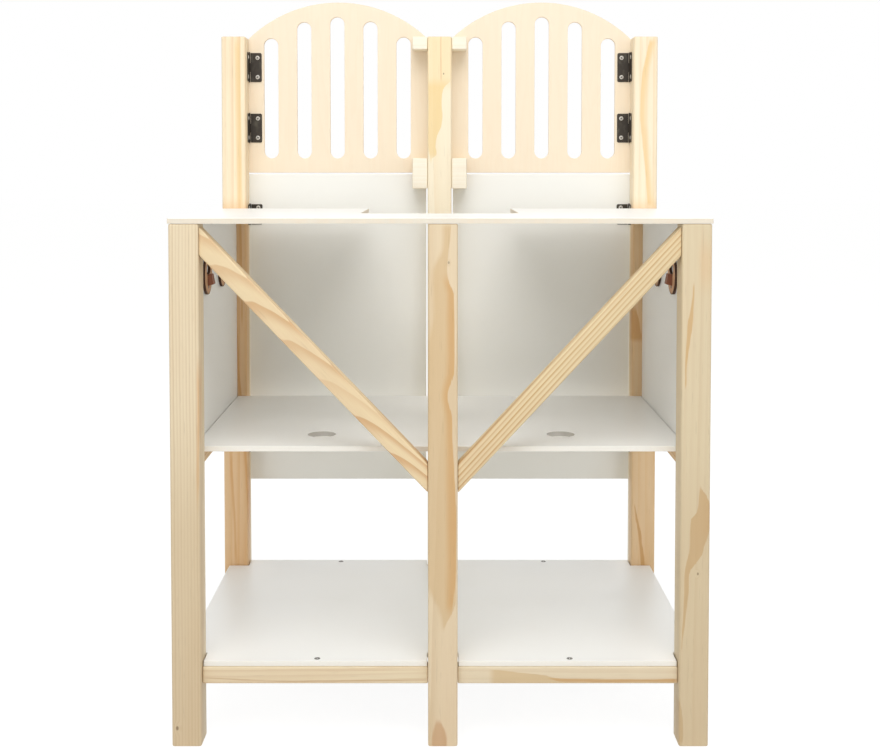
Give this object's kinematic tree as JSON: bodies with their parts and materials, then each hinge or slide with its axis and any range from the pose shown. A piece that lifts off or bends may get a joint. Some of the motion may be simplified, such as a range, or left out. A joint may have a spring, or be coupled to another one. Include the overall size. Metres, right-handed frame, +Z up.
{
  "type": "hobby horse stable",
  "caption": "Free-standing wooden toy stable for hobby horses: square posts, white shelves, slotted gates with arched tops over plain doors, diagonal braces, tack hooks and stick holes.",
  "frame": {"origin": "on the floor, in the middle of the footprint with every gate and door shut", "axes": "+Z up, +X to the right seen from the open back, +Y towards the gates and doors"},
  "size_m": [0.803, 0.522, 1.172],
  "materials": {
    "pine": "clear matt lacquer on planed pine",
    "heart_pine": "clear matt lacquer on darker planed pine",
    "white_board": "white painted board, satin",
    "cream_board": "pale painted board, satin",
    "dark_metal": "black painted steel, satin",
    "plywood": "bare plywood with dark cut edges"
  },
  "bodies": {
    "stable_frame": {"rear_post_left": "pine", "rear_post_centre": "heart_pine", "rear_post_right": "pine", "front_post_left": "pine", "front_post_centre": "heart_pine", "front_post_right": "pine", "rear_bottom_rail_left": "pine", "rear_bottom_rail_right": "pine", "front_bottom_rail_left": "pine", "front_bottom_rail_right": "pine", "top_shelf": "white_board", "middle_shelf": "white_board", "bottom_shelf": "white_board", "brace_left": "pine", "brace_right": "pine", "middle_shelf_batten_left": "pine", "middle_shelf_batten_right": "pine", "side_panel_left": "white_board", "side_panel_right": "white_board", "upper_stop_block_left": "pine", "upper_stop_block_right": "pine", "lower_stop_block_left": "pine", "lower_stop_block_right": "pine", "gate_hinge_left_top_post_plate": "dark_metal", "gate_hinge_left_top_pin": "dark_metal", "gate_hinge_left_bottom_post_plate": "dark_metal", "gate_hinge_left_bottom_pin": "dark_metal", "gate_hinge_right_top_post_plate": "dark_metal", "gate_hinge_right_top_pin": "dark_metal", "gate_hinge_right_bottom_post_plate": "dark_metal", "gate_hinge_right_bottom_pin": "dark_metal", "door_hinge_left_top_post_plate": "dark_metal", "door_hinge_left_top_pin": "dark_metal", "door_hinge_left_bottom_post_plate": "dark_metal", "door_hinge_left_bottom_pin": "dark_metal", "door_hinge_right_top_post_plate": "dark_metal", "door_hinge_right_top_pin": "dark_metal", "door_hinge_right_bottom_post_plate": "dark_metal", "door_hinge_right_bottom_pin": "dark_metal", "hook_left_rear_disc": "plywood", "hook_left_rear_arm": "plywood", "hook_left_front_disc": "plywood", "hook_left_front_arm": "plywood", "hook_right_rear_disc": "plywood", "hook_right_rear_arm": "plywood", "hook_right_front_disc": "plywood", "hook_right_front_arm": "plywood"},
    "upper_gate_left": {"upper_gate_left": "cream_board", "gate_hinge_left_top_leaf_plate": "dark_metal", "gate_hinge_left_bottom_leaf_plate": "dark_metal"},
    "upper_gate_right": {"upper_gate_right": "cream_board", "gate_hinge_right_top_leaf_plate": "dark_metal", "gate_hinge_right_bottom_leaf_plate": "dark_metal"},
    "lower_door_left": {"lower_door_left": "white_board", "door_hinge_left_top_leaf_plate": "dark_metal", "door_hinge_left_bottom_leaf_plate": "dark_metal"},
    "lower_door_right": {"lower_door_right": "white_board", "door_hinge_right_top_leaf_plate": "dark_metal", "door_hinge_right_bottom_leaf_plate": "dark_metal"}
  },
  "joints": [
    {"name": "gate_swing_left", "type": "hinge", "parent": "stable_frame", "child": "upper_gate_left", "pos_m": [-0.3558, 0.2507, 0.99], "axis": [0, 0, 1], "range_deg": [0, 90]},
    {"name": "gate_swing_right", "type": "hinge", "parent": "stable_frame", "child": "upper_gate_right", "pos_m": [0.3558, 0.2507, 0.99], "axis": [0, 0, -1], "range_deg": [0, 90]},
    {"name": "door_swing_left", "type": "hinge", "parent": "stable_frame", "child": "lower_door_left", "pos_m": [-0.3558, 0.2507, 0.565], "axis": [0, 0, 1], "range_deg": [0, 90]},
    {"name": "door_swing_right", "type": "hinge", "parent": "stable_frame", "child": "lower_door_right", "pos_m": [0.3558, 0.2507, 0.565], "axis": [0, 0, -1], "range_deg": [0, 90]}
  ]
}
